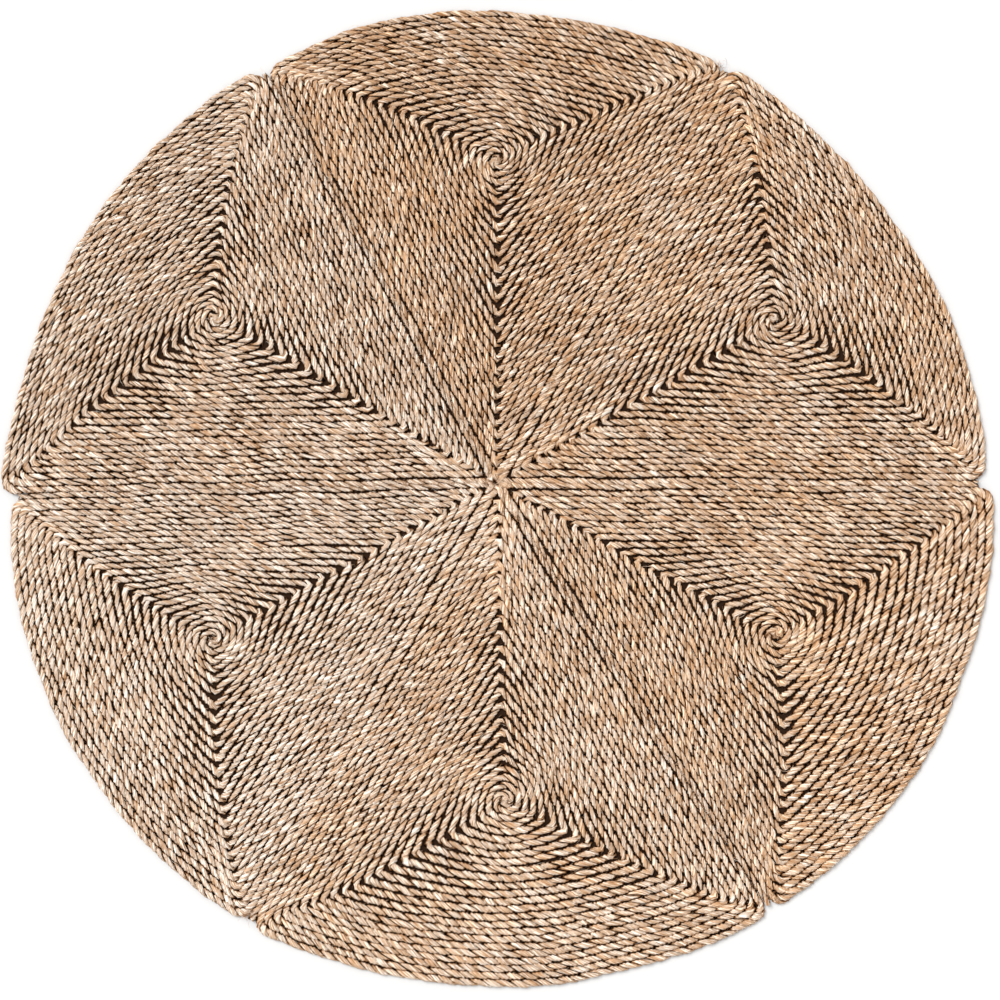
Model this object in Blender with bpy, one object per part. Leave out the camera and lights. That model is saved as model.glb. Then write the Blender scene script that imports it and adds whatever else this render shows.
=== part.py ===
"""Round jute rug, 1.5 m across, lying flat.

Six wedge panels meet at a hub. Each panel is one two-strand rope, wound outwards from an eye in
turns that keep the wedge's outline, and the panels are sewn side by side along their seams. Each
turn stands up as a ridge, and where a turn bends sharply it leaves an open gap beside the next.

Units are metres and degrees, +Z is up. The underside lies on z = 0, and the origin is the middle
of the rug's box. Angles run counter-clockwise from +X, seen from above.
"""
import math
from collections import namedtuple

import bmesh
import bpy
from mathutils import Vector
from mathutils.geometry import delaunay_2d_cdt

# --- Driving sizes ---------------------------------------------------------------------------

ROPE_HEIGHT = 0.0095        # top of a turn above the floor
VALLEY_HEIGHT = 0.0050      # where two turns lying side by side touch
SEAM_GAP = 0.0003           # between two sewn panels
ROPE_PITCH = 0.010          # from one turn to the next, as laid

BEND_REACH = 0.008          # how far from a corner a turn starts to bend
SOFT_TURNS = 6              # the first turns, which are still round
SOFT_BEND_FACTOR = 2.0      # how much wider the bend is at the eye
BEND_SHARE = 0.42           # the most of a side that one bend may take
OUTLINE_HUB_REACH = 0.003   # bend of the outermost edge at the hub
ROPE_END_REACH = 0.003      # rounding of the rope's end at the rim

GAP_REACH = 0.0047          # how far an open gap runs along each of its two turns
GAP_INWARD = 0.0065         # from the corner of the valley towards the eye, for a square corner
GAP_OUTWARD = 0.0018        # and away from it
EYE_BACK = 0.0035           # the rope's first end lies this far back along the start seam
EYE_ASIDE = 0.003           # and this far towards that seam

BEND_POINTS = 3             # points of a bend: where it starts, its middle, where it ends
RIM_POINTS = 8              # points along a rim run, between its corners
CORNER_STEPS = 6            # rounds of solving for the corner of a seam run and a rim run
MERGE_DISTANCE = 1e-7       # points of the underside closer than this are one

# A turn runs along the rim, then the seam at the panel's end, then the seam at its start. It
# steps out by one pitch on the way, a third of it at each corner.
STEP = {"rim": 0.0, "end": 1 / 3, "start": 2 / 3}

# seam: direction of the panel's start seam. rim: distance from the hub to the rim at the start
# seam, at one and two thirds of the way round, and at the end seam. eye_reach, eye: distance and
# direction of the eye from the hub. gaps: first and last turn with an open gap at each corner.
Panel = namedtuple("Panel", "name seam rim eye_reach eye turns gaps_start gaps_end gaps_hub")
PANELS = [
    Panel("panel_right_upper", -0.4, (0.743, 0.733, 0.721, 0.727), 0.490, 30.4, 25,
          (4, 12), (11, 18), (4, 15)),
    Panel("panel_top", 60.6, (0.725, 0.714, 0.722, 0.720), 0.491, 90.0, 25,
          (6, 23), (4, 16), (11, 22)),
    Panel("panel_left_upper", 119.1, (0.724, 0.730, 0.734, 0.755), 0.497, 149.7, 26,
          (6, 14), (7, 23), (5, 21)),
    Panel("panel_left_lower", 181.2, (0.736, 0.755, 0.762, 0.771), 0.493, 208.9, 25,
          (18, 23), (15, 20), (10, 21)),
    Panel("panel_bottom", 240.1, (0.774, 0.766, 0.766, 0.776), 0.482, 271.4, 25,
          (14, 23), (16, 23), (6, 14)),
    Panel("panel_right_lower", 302.4, (0.771, 0.774, 0.766, 0.754), 0.482, 331.3, 24,
          (14, 22), (13, 21), (4, 20)),
]

JUTE_COLOUR = (0.45, 0.30, 0.19, 1.0)
JUTE_ROUGHNESS = 0.9


# --- The plan of one panel -------------------------------------------------------------------

def polar(radius, angle):
    """The point at a distance and direction from the hub."""
    return Vector((radius * math.cos(angle), radius * math.sin(angle)))


def through_four(values, share):
    """The smooth curve through four evenly spaced values, at a share from 0 to 1."""
    total = 0.0
    for i, value in enumerate(values):
        weight = 1.0
        for j in range(4):
            if j != i:
                weight *= (3 * share - j) / (i - j)
        total += value * weight
    return total


class Wedge:
    """Where the runs and corners of a panel's turns lie, about the hub.

    A level is 0 at the eye and 1 at the panel's edge.
    """

    def __init__(self, panel, end_seam):
        self.panel = panel
        self.start = math.radians(panel.seam)
        self.end = math.radians(end_seam)
        eye_angle = math.radians(panel.eye)
        self.depth = {
            "start": panel.eye_reach * math.sin(eye_angle - self.start) - SEAM_GAP / 2,
            "end": panel.eye_reach * math.sin(self.end - eye_angle) - SEAM_GAP / 2,
            "rim": self.rim_radius(eye_angle, 1.0) - panel.eye_reach,
        }

    def level(self, side, turn):
        """How far out a side of a turn lies; a half turn is the crest of the rope."""
        return (turn + STEP[side]) / (self.panel.turns + STEP[side])

    def rim_radius(self, angle, level):
        """Distance of a rim run from the hub."""
        share = (angle - self.start) / (self.end - self.start)
        edge = through_four(self.panel.rim, share)
        if level == 1.0:
            return edge
        return edge - (1 - level) * self.depth["rim"]

    def rim_point(self, angle, level):
        return polar(self.rim_radius(angle, level), angle)

    def offset(self, side, level):
        """Distance of a seam run from its seam."""
        return SEAM_GAP / 2 + (1 - level) * self.depth[side]

    def rim_corner(self, side, side_level, rim_level):
        """Direction, from the hub, of the corner between a seam run and a rim run."""
        seam, way = (self.start, 1) if side == "start" else (self.end, -1)
        offset = self.offset(side, side_level)
        angle = seam
        for _ in range(CORNER_STEPS):
            angle = seam + way * math.asin(offset / self.rim_radius(angle, rim_level))
        return angle

    def hub_corner(self, end_level, start_level):
        """The corner between the runs beside the two seams."""
        opening = self.end - self.start
        from_start = self.offset("start", start_level)
        from_end = self.offset("end", end_level)
        along_start = (from_end + from_start * math.cos(opening)) / math.sin(opening)
        return polar(along_start, self.start) + polar(from_start, self.start + math.pi / 2)

    def bend_reach(self, turn):
        """Wide near the eye, where the rope is still wound round, then narrow."""
        softness = max(0.0, 1 - turn / SOFT_TURNS)
        reach = BEND_REACH * (1 + SOFT_BEND_FACTOR * softness)
        side_length = 2 * math.sqrt(3) * ROPE_PITCH * turn
        return min(reach, BEND_SHARE * side_length)


class Corner:
    """A bend: where it starts, its middle, where it ends, and the mitre's direction."""

    def __init__(self, before, point, after):
        self.before = before
        self.point = point
        self.after = after
        self.middle = 0.5 * point + 0.25 * (before + after)
        back = (before - point).normalized()
        ahead = (after - point).normalized()
        self.outward = -(back + ahead).normalized()
        self.sharpness = 1 / math.sin(back.angle(ahead) / 2)


def start_corner(wedge, turn, reach):
    """From the run beside the start seam, one turn back, into a rim run."""
    rim_level = wedge.level("rim", turn)
    angle = wedge.rim_corner("start", wedge.level("start", turn - 1), rim_level)
    point = wedge.rim_point(angle, rim_level)
    swing = reach / point.length
    return Corner(point - polar(reach, wedge.start), point,
                  wedge.rim_point(angle + swing, rim_level))


def end_corner(wedge, turn, reach):
    """From a rim run into the run beside the end seam."""
    rim_level = wedge.level("rim", turn)
    angle = wedge.rim_corner("end", wedge.level("end", turn), rim_level)
    point = wedge.rim_point(angle, rim_level)
    swing = reach / point.length
    return Corner(wedge.rim_point(angle - swing, rim_level), point,
                  point - polar(reach, wedge.end))


def hub_corner(wedge, turn, reach):
    """From the run beside the end seam into the run beside the start seam."""
    point = wedge.hub_corner(wedge.level("end", turn), wedge.level("start", turn))
    return Corner(point + polar(reach, wedge.end), point, point + polar(reach, wedge.start))


# --- The mesh of one panel -------------------------------------------------------------------

class PanelMesh:
    """Builds a panel's closed mesh, line by line from the eye outwards."""

    def __init__(self, wedge, centre):
        self.wedge = wedge
        self.centre = centre
        self.bm = bmesh.new()
        self.floor_rings = []

    def vertex(self, point, height):
        place = point - self.centre
        return self.bm.verts.new((place.x, place.y, height))

    def face(self, *corners):
        """A face, which loses a corner where two of them are one vertex."""
        self.bm.faces.new(list(dict.fromkeys(corners)))

    def line(self, turn, height, gaps=None, hub_reach=None):
        """One turn of a valley or a crest, as its inner side and its outer side.

        The two sides share their vertices except at an open gap, where the inner side passes
        the gap nearer to the eye.
        """
        wedge = self.wedge
        reach = wedge.bend_reach(turn)
        gaps = gaps or {}
        bends = {}
        for name, corner_of in (("start", start_corner), ("end", end_corner), ("hub", hub_corner)):
            corner_reach = GAP_REACH if name in gaps else reach
            if name == "hub" and hub_reach:
                corner_reach = hub_reach
            bends[name] = corner_of(wedge, turn, corner_reach)

        inner = []
        outer = []
        for name in ("start", "end", "hub"):
            bend = bends[name]
            before = self.vertex(bend.before, height)
            after = self.vertex(bend.after, height)
            if name in gaps:
                scale = bend.sharpness / math.sqrt(2)
                near = self.vertex(bend.point - GAP_INWARD * scale * bend.outward, height)
                far = self.vertex(bend.point + GAP_OUTWARD * scale * bend.outward, height)
                self.wall_gap([before, far, after, near])
            else:
                near = far = self.vertex(bend.middle, height)
            inner += [before, near, after]
            outer += [before, far, after]
            if name == "start":
                rim = self.rim_run(turn, bends, height)
                inner += rim
                outer += rim
        return inner, outer

    def rim_run(self, turn, bends, height):
        """The vertices between the two corners of a rim run."""
        level = self.wedge.level("rim", turn)
        first, last = (math.atan2(p.y, p.x) for p in (bends["start"].after, bends["end"].before))
        span = (last - first) % math.tau
        return [
            self.vertex(self.wedge.rim_point(self.unwrap(first) + span * k / (RIM_POINTS + 1), level),
                        height)
            for k in range(1, RIM_POINTS + 1)
        ]

    def unwrap(self, angle):
        """The same direction, counted on from the panel's start seam."""
        return self.wedge.start + (angle - self.wedge.start) % math.tau

    def strip(self, near_line, far_line):
        for k in range(len(near_line) - 1):
            self.face(near_line[k], far_line[k], far_line[k + 1], near_line[k + 1])

    def wall_gap(self, ring):
        """The four walls of an open gap, from its rim down to the floor."""
        floor = self.on_floor(ring)
        for k in range(4):
            after = (k + 1) % 4
            self.face(ring[k], ring[after], floor[after], floor[k])

    def wall_outline(self, ring):
        floor = self.on_floor(ring)
        for k in range(len(ring)):
            after = (k + 1) % len(ring)
            self.face(floor[k], floor[after], ring[after], ring[k])

    def on_floor(self, ring):
        floor = [self.bm.verts.new((v.co.x, v.co.y, 0.0)) for v in ring]
        self.floor_rings.append(floor)
        return floor

    def underside(self):
        """The flat face on the floor, open at the gaps."""
        verts = [v for ring in self.floor_rings for v in ring]
        loops = []
        for ring in self.floor_rings:
            first = loops[-1][-1] + 1 if loops else 0
            loops.append(list(range(first, first + len(ring))))
        outline = len(loops) - 1
        inside_the_loops = 1
        points = [v.co.to_2d() for v in verts]
        result = delaunay_2d_cdt(points, [], loops, inside_the_loops, MERGE_DISTANCE)
        _, _, triangles, sources, _, covering_loops = result
        for triangle, covering in zip(triangles, covering_loops):
            if covering == [outline]:
                a, b, c = (verts[sources[index][0]] for index in triangle)
                self.face(c, b, a)

    def build(self):
        wedge = self.wedge
        turns = wedge.panel.turns
        spans = {"start": wedge.panel.gaps_start, "end": wedge.panel.gaps_end,
                 "hub": wedge.panel.gaps_hub}

        valleys = [None]
        crests = []
        for turn in range(turns):
            crests.append(self.line(turn + 0.5, ROPE_HEIGHT)[0])
        for turn in range(1, turns):
            gaps = {name for name, (first, last) in spans.items() if first <= turn <= last}
            valleys.append(self.line(turn, VALLEY_HEIGHT, gaps))
        valleys.append(self.line(turns, VALLEY_HEIGHT, hub_reach=OUTLINE_HUB_REACH))

        self.close_eye(crests, valleys)
        for turn in range(turns):
            after_crest = crests[turn + 1][:1] if turn + 1 < turns else []
            if turn > 0:
                self.strip(valleys[turn][1] + (valleys[turn + 1][0][:1] if after_crest else []),
                           crests[turn] + after_crest)
            after_valley = valleys[turn + 2][0][:1] if turn + 2 <= turns else []
            self.strip(crests[turn] + (after_crest if after_valley else []),
                       valleys[turn + 1][0] + after_valley)
        ring = self.close_rim(crests, valleys)
        self.wall_outline(ring)
        self.underside()
        return self.bm

    def close_eye(self, crests, valleys):
        """The start of the rope: its first corner is drawn together at the eye."""
        wedge = self.wedge
        place = (polar(wedge.panel.eye_reach, math.radians(wedge.panel.eye))
                 - polar(EYE_BACK, wedge.start) - polar(EYE_ASIDE, wedge.start + math.pi / 2))
        eye = self.vertex(place, VALLEY_HEIGHT)
        for vertex in crests[0][:BEND_POINTS]:
            self.bm.verts.remove(vertex)
        crests[0][:BEND_POINTS] = [eye] * BEND_POINTS
        around = crests[0][BEND_POINTS:] + crests[1][:1] + valleys[1][0][:1]
        for k in range(len(around) - 1):
            self.face(eye, around[k], around[k + 1])

    def close_rim(self, crests, valleys):
        """The end of the rope, cut flush with the rim beside the start seam."""
        wedge = self.wedge
        edge = valleys[-1][0]
        crest_level = wedge.level("start", wedge.panel.turns - 0.5)
        crest_end = self.vertex(
            wedge.rim_point(wedge.rim_corner("start", crest_level, 1.0), 1.0), ROPE_HEIGHT)
        angle = wedge.rim_corner("start", 1.0, 1.0)
        point = wedge.rim_point(angle, 1.0)
        tip = Corner(point - polar(ROPE_END_REACH, wedge.start), point,
                     wedge.rim_point(angle + ROPE_END_REACH / point.length, 1.0))
        before, middle, after = (self.vertex(p, VALLEY_HEIGHT)
                                 for p in (tip.before, tip.middle, tip.after))
        last_crest = crests[-1][-1]
        self.face(valleys[-2][1][-1], last_crest, crest_end, edge[0])
        self.face(edge[0], crest_end, edge[1])
        self.face(last_crest, edge[-1], before, crest_end)
        self.face(before, middle, crest_end)
        self.face(middle, after, crest_end)
        return edge[1:] + [before, middle, after, crest_end]


# --- The rug ---------------------------------------------------------------------------------

def plan_centre(wedges):
    """The middle of the rug's box, from the hub."""
    points = []
    for wedge in wedges:
        steps = RIM_POINTS + 1
        first = wedge.rim_corner("start", 1.0, 1.0)
        last = wedge.rim_corner("end", 1.0, 1.0)
        points += [wedge.rim_point(first + (last - first) * k / steps, 1.0)
                   for k in range(steps + 1)]
    xs = [p.x for p in points]
    ys = [p.y for p in points]
    return Vector(((min(xs) + max(xs)) / 2, (min(ys) + max(ys)) / 2))


def jute():
    material = bpy.data.materials.new("jute")
    material.use_nodes = True
    shader = material.node_tree.nodes["Principled BSDF"]
    shader.inputs["Base Color"].default_value = JUTE_COLOUR
    shader.inputs["Roughness"].default_value = JUTE_ROUGHNESS
    shader.inputs["Metallic"].default_value = 0.0
    return material


def main():
    for obj in list(bpy.data.objects):
        bpy.data.objects.remove(obj, do_unlink=True)
    seams = [panel.seam for panel in PANELS] + [PANELS[0].seam + 360]
    wedges = [Wedge(panel, seams[k + 1]) for k, panel in enumerate(PANELS)]
    centre = plan_centre(wedges)
    material = jute()
    for wedge in wedges:
        mesh = bpy.data.meshes.new(wedge.panel.name)
        bm = PanelMesh(wedge, centre).build()
        bm.to_mesh(mesh)
        bm.free()
        mesh.materials.append(material)
        panel = bpy.data.objects.new(wedge.panel.name, mesh)
        bpy.context.scene.collection.objects.link(panel)


main()
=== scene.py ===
# %% [markdown]
# # A round rug wound from jute rope
#
# The rug lies flat on the floor. It is sewn from six wedge-shaped panels that meet at a hub. Each
# panel is one long two-strand rope, wound outwards from an eye in about 25 turns that keep the
# shape of the wedge. The script lays the path of each rope by rule, twists two strands round it
# with Geometry Nodes, gives them a fibrous finish and adds the stray fibres.
#
# Units are metres, +Z is up, and the origin is the middle of the rug, on the floor.

# %% Load the frame
import math
import random
from collections import namedtuple

import bpy
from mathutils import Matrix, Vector


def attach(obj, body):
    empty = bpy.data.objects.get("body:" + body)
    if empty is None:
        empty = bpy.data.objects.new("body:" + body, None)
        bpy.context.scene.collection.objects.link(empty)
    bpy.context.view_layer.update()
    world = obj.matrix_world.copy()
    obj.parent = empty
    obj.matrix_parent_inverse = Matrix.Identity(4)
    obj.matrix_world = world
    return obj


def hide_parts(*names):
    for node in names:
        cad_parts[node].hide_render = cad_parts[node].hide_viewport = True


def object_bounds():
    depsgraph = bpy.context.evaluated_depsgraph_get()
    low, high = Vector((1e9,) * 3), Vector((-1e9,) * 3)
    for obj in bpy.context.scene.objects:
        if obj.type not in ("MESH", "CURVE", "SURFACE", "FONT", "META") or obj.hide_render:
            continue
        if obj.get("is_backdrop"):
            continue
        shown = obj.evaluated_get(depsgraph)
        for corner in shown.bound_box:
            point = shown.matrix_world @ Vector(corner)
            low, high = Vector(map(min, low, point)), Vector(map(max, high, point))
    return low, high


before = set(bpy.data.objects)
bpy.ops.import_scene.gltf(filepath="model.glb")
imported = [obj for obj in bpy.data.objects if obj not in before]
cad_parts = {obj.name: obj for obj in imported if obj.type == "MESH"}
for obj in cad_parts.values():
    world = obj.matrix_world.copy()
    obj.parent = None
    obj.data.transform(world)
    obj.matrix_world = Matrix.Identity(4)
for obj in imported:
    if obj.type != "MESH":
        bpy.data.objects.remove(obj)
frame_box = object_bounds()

low, high = frame_box
print(f"{len(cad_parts)} panels, {high.x - low.x:.3f} x {high.y - low.y:.3f} m,",
      f"{high.z * 1000:.1f} mm thick")

# %% [markdown]
# ## The camera and the light
#
# The rug is seen from straight above. A long lens keeps its outline undistorted. One broad lamp
# stands to the upper left, so that each lobe of the twist is pale on one side and shaded on the
# other. An even sky fills the shadows, and the floor is plain and pale.

# %% The camera
VIEW_WIDTH = 1.52           # of floor that the picture takes in
VIEW_CENTRE = (0.005, -0.0025)
CAMERA_HEIGHT = 3.6

camera_data = bpy.data.cameras.new("camera")
camera_data.lens = camera_data.sensor_width * CAMERA_HEIGHT / VIEW_WIDTH
camera = bpy.data.objects.new("camera", camera_data)
camera.location = (*VIEW_CENTRE, CAMERA_HEIGHT)
bpy.context.scene.collection.objects.link(camera)
bpy.context.scene.camera = camera
print(f"lens {camera_data.lens:.0f} mm, straight down from {CAMERA_HEIGHT} m")

# %% The lamp and the sky
LAMP_AZIMUTH = 135          # degrees from +X, so the light comes from the upper left
LAMP_ELEVATION = 52
LAMP_STRENGTH = 2.7
LAMP_ANGLE = 30             # degrees across, for soft edges to the shadows
SKY_STRENGTH = 1.0
SKY_COLOUR = (1.0, 0.99, 0.98, 1.0)

lamp_data = bpy.data.lights.new("lamp", "SUN")
lamp_data.energy = LAMP_STRENGTH
lamp_data.angle = math.radians(LAMP_ANGLE)
lamp = bpy.data.objects.new("lamp", lamp_data)
lamp.rotation_euler = (0, math.radians(90 - LAMP_ELEVATION), math.radians(LAMP_AZIMUTH))
bpy.context.scene.collection.objects.link(lamp)

sky = bpy.data.worlds.new("sky")
sky.use_nodes = True
sky_shader = sky.node_tree.nodes["Background"]
sky_shader.inputs["Color"].default_value = SKY_COLOUR
sky_shader.inputs["Strength"].default_value = SKY_STRENGTH
bpy.context.scene.world = sky
bpy.context.scene.view_settings.view_transform = "Standard"
print(f"lamp at {LAMP_ELEVATION} degrees, sky {SKY_STRENGTH}")

# %% The floor
FLOOR_REACH = 6.0
FLOOR_DROP = 0.0003         # under the rug's lowest fibres
FLOOR_COLOUR = (0.62, 0.62, 0.62, 1.0)

floor_mesh = bpy.data.meshes.new("floor")
corners = [(-1, -1), (1, -1), (1, 1), (-1, 1)]
floor_mesh.from_pydata([(x * FLOOR_REACH, y * FLOOR_REACH, -FLOOR_DROP) for x, y in corners],
                       [], [(0, 1, 2, 3)])
floor = bpy.data.objects.new("floor", floor_mesh)
bpy.context.scene.collection.objects.link(floor)

floor_finish = bpy.data.materials.new("pale floor")
floor_finish.use_nodes = True
floor_shader = floor_finish.node_tree.nodes["Principled BSDF"]
floor_shader.inputs["Base Color"].default_value = FLOOR_COLOUR
floor_shader.inputs["Roughness"].default_value = 0.9
floor_mesh.materials.append(floor_finish)
floor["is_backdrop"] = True
print(f"floor {2 * FLOOR_REACH:.0f} m across, {FLOOR_DROP * 1000:.1f} mm under the rug")

# %% [markdown]
# ## Node trees, written down as calls
#
# The rope and its finish are both made by nodes. They could be joined by hand in the node editor,
# but as calls they can be read, changed and run again. Two helpers keep the trees short: one adds
# nodes, joins what feeds them and writes arithmetic, and the other gives a Geometry Nodes tree its
# named inputs and turns what it makes into a plain mesh.

# %% Helpers for node trees
class Nodes:
    """Adds nodes to a tree; a feed is another node's output or a plain value."""

    def __init__(self, tree):
        self.tree = tree

    def add(self, kind, feeds=None, **settings):
        node = self.tree.nodes.new(kind)
        for name, value in settings.items():
            setattr(node, name, value)
        for socket, feed in (feeds or {}).items():
            if isinstance(feed, bpy.types.NodeSocket):
                self.tree.links.new(feed, node.inputs[socket])
            else:
                node.inputs[socket].default_value = feed
        return node

    def number(self, operation, *values):
        node = self.add("ShaderNodeMath", dict(enumerate(values)), operation=operation)
        return node.outputs[0]

    def vector(self, operation, *values):
        node = self.add("ShaderNodeVectorMath", dict(enumerate(values)), operation=operation)
        return node.outputs["Value" if operation in ("DOT_PRODUCT", "LENGTH") else "Vector"]

    def scaled(self, vector, factor):
        node = self.add("ShaderNodeVectorMath", {0: vector, "Scale": factor}, operation="SCALE")
        return node.outputs["Vector"]

    def xyz(self, x=0.0, y=0.0, z=0.0):
        return self.add("ShaderNodeCombineXYZ", {0: x, 1: y, 2: z}).outputs[0]

    def parts(self, vector):
        return self.add("ShaderNodeSeparateXYZ", {0: vector}).outputs

    def noise(self, vector, scale, **feeds):
        """Smooth noise from -1 to 1, as a vector."""
        feeds = {"Vector": vector, "Scale": scale, "Detail": 0.0} | feeds
        colour = self.add("ShaderNodeTexNoise", feeds).outputs["Color"]
        return self.vector("MULTIPLY_ADD", colour, (2, 2, 2), (-1, -1, -1))


class GeometryTree(Nodes):
    """A Geometry Nodes tree with named inputs, and a modifier call that sets them."""

    def __init__(self, name, inputs):
        super().__init__(bpy.data.node_groups.new(name, "GeometryNodeTree"))
        panel = self.tree.interface
        panel.new_socket("Geometry", in_out="OUTPUT", socket_type="NodeSocketGeometry")
        panel.new_socket("Geometry", in_out="INPUT", socket_type="NodeSocketGeometry")
        for label, (kind, value) in inputs.items():
            socket = panel.new_socket(label, in_out="INPUT", socket_type="NodeSocket" + kind)
            if value is not None:
                socket.default_value = value
        self.given = self.tree.nodes.new("NodeGroupInput").outputs

    def store(self, geometry, name, value, data_type="FLOAT"):
        node = self.add("GeometryNodeStoreNamedAttribute",
                        {"Geometry": geometry, "Name": name, "Value": value}, data_type=data_type)
        return node.outputs[0]

    def stored(self, name, data_type="FLOAT"):
        node = self.add("GeometryNodeInputNamedAttribute", {"Name": name}, data_type=data_type)
        return node.outputs["Attribute"]

    def finish(self, geometry):
        """Ends the tree in Realize Instances and Set Material."""
        real = self.add("GeometryNodeRealizeInstances", {0: geometry}).outputs[0]
        dressed = self.add("GeometryNodeSetMaterial",
                           {"Geometry": real, "Material": self.given["Material"]}).outputs[0]
        self.tree.links.new(dressed, self.tree.nodes.new("NodeGroupOutput").inputs[0])

    def made_mesh(self, name, source, values):
        """The tree's result on a source object, as a plain mesh object."""
        modifier = source.modifiers.new("tree", "NODES")
        modifier.node_group = self.tree
        for item in self.tree.interface.items_tree:
            if item.in_out == "INPUT" and item.name in values:
                modifier[item.identifier] = values[item.name]
        graph = bpy.context.evaluated_depsgraph_get()
        mesh = bpy.data.meshes.new_from_object(source.evaluated_get(graph), depsgraph=graph)
        source.modifiers.remove(modifier)
        mesh.name = name
        piece = bpy.data.objects.new(name, mesh)
        bpy.context.scene.collection.objects.link(piece)
        return piece


# %% [markdown]
# ## The plan of a panel
#
# A panel is a wedge between two seams that run out from the hub. Its rope starts at the eye and
# goes round counter-clockwise: along the rim, in beside the end seam, round the hub corner and
# out beside the start seam. The 150 turns could be drawn one by one. But the place of a side
# depends only on its level, which is 0 at the eye and 1 at the edge of the wedge, so one small
# table and a few formulas give every turn, and a size can be changed in one place.

# %% The panels
ROPE_PITCH = 0.010          # from one turn to the next
ROPE_HEIGHT = 0.0095
FULLNESS = 1.08             # how far the rope spreads: 1 is its own width at the usual pitch
SEAM_GAP = 0.0003           # between two panels
RIM_PARTS = 9               # parts of a panel's rim, as the solids have it
STEP = {"rim": 0.0, "end": 1 / 3, "start": 2 / 3}   # a turn steps out a third at each corner

# seam: direction of the start seam, in degrees. rim: distance from the hub to the rim at the
# start seam, at one and two thirds of the way round, and at the end seam. eye_reach, eye: the
# eye's distance and direction. open_...: first and last turn with an open gap at a corner.
# full: the fullness of the two ropes beside the start seam, less where the seam gapes.
# pale, ruddy: how this panel's batch of rope differs from the others.
Panel = namedtuple("Panel", "node seam rim eye_reach eye turns open_start open_end open_hub "
                            "full pale ruddy")
PANELS = [
    Panel("panel_right_upper", -0.4, (0.743, 0.733, 0.721, 0.727), 0.490, 30.4, 25,
          (4, 12), (11, 18), (4, 15), 1.08, -0.02, 0.20),
    Panel("panel_top", 60.6, (0.725, 0.714, 0.722, 0.720), 0.491, 90.0, 25,
          (6, 23), (4, 16), (11, 22), 1.12, -0.05, 0.26),
    Panel("panel_left_upper", 119.1, (0.724, 0.730, 0.734, 0.755), 0.497, 149.7, 26,
          (6, 14), (7, 23), (5, 21), 0.90, -0.01, -0.06),
    Panel("panel_left_lower", 181.2, (0.736, 0.755, 0.762, 0.771), 0.493, 208.9, 25,
          (18, 23), (15, 20), (10, 21), 1.02, 0.04, -0.14),
    Panel("panel_bottom", 240.1, (0.774, 0.766, 0.766, 0.776), 0.482, 271.4, 25,
          (14, 23), (16, 23), (6, 14), 1.12, 0.02, 0.14),
    Panel("panel_right_lower", 302.4, (0.771, 0.774, 0.766, 0.754), 0.482, 331.3, 24,
          (14, 22), (13, 21), (4, 20), 0.91, -0.01, 0.24),
]


def polar(radius, angle):
    return Vector((radius * math.cos(angle), radius * math.sin(angle)))


def through_four(values, share):
    """The smooth curve through four evenly spaced values, at a share from 0 to 1."""
    total = 0.0
    for i, value in enumerate(values):
        weight = 1.0
        for j in range(4):
            if j != i:
                weight *= (3 * share - j) / (i - j)
        total += value * weight
    return total


print(f"{sum(panel.turns for panel in PANELS)} turns in all")

# %% Where the sides and corners of a turn lie
CORNER_ROUNDS = 6           # of solving for the place of a corner at the rim


class Wedge:
    """A panel's outline and the lines that its turns follow, seen from the hub."""

    def __init__(self, panel, end_seam, end_full):
        self.panel = panel
        self.start = math.radians(panel.seam)
        self.end = math.radians(end_seam)
        self.edge_full = {"start": panel.full, "end": end_full, "rim": FULLNESS}
        eye_angle = math.radians(panel.eye)
        self.depth = {
            "start": panel.eye_reach * math.sin(eye_angle - self.start) - SEAM_GAP / 2,
            "end": panel.eye_reach * math.sin(self.end - eye_angle) - SEAM_GAP / 2,
            "rim": self.rim_radius(eye_angle, 1.0) - panel.eye_reach,
        }

    def level(self, side, turn):
        return (turn + STEP[side]) / (self.panel.turns + STEP[side])

    def pitch(self, side):
        return self.depth[side] / (self.panel.turns + STEP[side])

    def rim_radius(self, angle, level):
        edge = through_four(self.panel.rim, (angle - self.start) / (self.end - self.start))
        if level == 1.0:
            return edge
        return edge - (1 - level) * self.depth["rim"]

    def rim_point(self, angle, level):
        return polar(self.rim_radius(angle, level), angle)

    def offset(self, side, level):
        """Distance of a seam run from its seam."""
        return SEAM_GAP / 2 + (1 - level) * self.depth[side]

    def rim_corner(self, side, side_level, rim_level):
        """Direction of the corner between a seam run and a rim run."""
        seam, way = (self.start, 1) if side == "start" else (self.end, -1)
        angle = seam
        for _ in range(CORNER_ROUNDS):
            reach = self.rim_radius(angle, rim_level)
            angle = seam + way * math.asin(self.offset(side, side_level) / reach)
        return angle

    def hub_corner(self, end_level, start_level):
        opening = self.end - self.start
        from_start = self.offset("start", start_level)
        from_end = self.offset("end", end_level)
        along_start = (from_end + from_start * math.cos(opening)) / math.sin(opening)
        return polar(along_start, self.start) + polar(from_start, self.start + math.pi / 2)


next_panels = PANELS[1:] + [PANELS[0]._replace(seam=PANELS[0].seam + 360)]
wedges = [Wedge(panel, after.seam, after.full) for panel, after in zip(PANELS, next_panels)]
rim = []
for wedge in wedges:
    first = wedge.rim_corner("start", 1.0, 1.0)
    last = wedge.rim_corner("end", 1.0, 1.0)
    rim += [wedge.rim_point(first + (last - first) * k / RIM_PARTS, 1.0)
            for k in range(RIM_PARTS + 1)]
hub = Vector([-(min(p[axis] for p in rim) + max(p[axis] for p in rim)) / 2 for axis in (0, 1)])
print(f"the hub is at {hub.x * 1000:.1f}, {hub.y * 1000:.1f} mm")

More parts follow.
